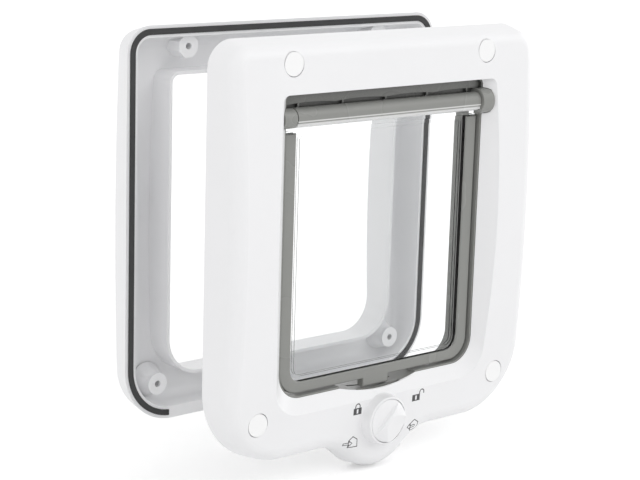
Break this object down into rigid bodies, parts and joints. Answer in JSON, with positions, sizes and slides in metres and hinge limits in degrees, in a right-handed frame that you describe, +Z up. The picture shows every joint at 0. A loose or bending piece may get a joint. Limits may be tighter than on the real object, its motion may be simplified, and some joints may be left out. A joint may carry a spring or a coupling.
{
  "type": "cat flap with a four-way rotary lock",
  "caption": "White two-part cat flap for a door: clear swinging flap in a grey frame, turning four-way lock, and outdoor frame with a foam seal.",
  "frame": {"origin": "centre of the four-screw pattern, in the door's indoor face where the indoor frame's rim bears", "axes": "+X to the right as seen from indoors, +Y into the door, from indoors to outdoors, +Z up"},
  "size_m": [0.2256, 0.1194, 0.2453],
  "materials": {
    "white_plastic": "satin",
    "grey_plastic": "satin",
    "clear_plastic": "clear",
    "seal_foam": "matte",
    "steel": "satin",
    "magnet": "matte"
  },
  "bodies": {
    "root": {"front_frame": "white_plastic", "liner": "grey_plastic", "hinge_bush_left": "grey_plastic", "hinge_bush_right": "grey_plastic", "hinge_rod": "steel", "sill_magnet": "magnet", "detent_spring": "steel", "screw_cap_top_left": "white_plastic", "screw_cap_top_right": "white_plastic", "screw_cap_bottom_left": "white_plastic", "screw_cap_bottom_right": "white_plastic", "rear_frame": "white_plastic", "rear_seal": "seal_foam"},
    "flap": {"hinge_barrel": "grey_plastic", "flap_pane": "clear_plastic", "flap_frame": "grey_plastic", "flap_magnet": "magnet"},
    "lock": {"lock_knob": "white_plastic", "lock_drum": "white_plastic", "lock_washer": "steel", "lock_screw": "steel"}
  },
  "joints": [
    {"name": "flap_swing", "type": "hinge", "parent": "root", "child": "flap", "pos_m": [0, -0.01267, 0.0664], "axis": [1, 0, 0], "range_deg": [-85, 85]},
    {"name": "lock_turn", "type": "hinge", "parent": "root", "child": "lock", "pos_m": [0, -0.0175, -0.1075], "axis": [0, 1, 0], "range_deg": [0, 270]}
  ]
}
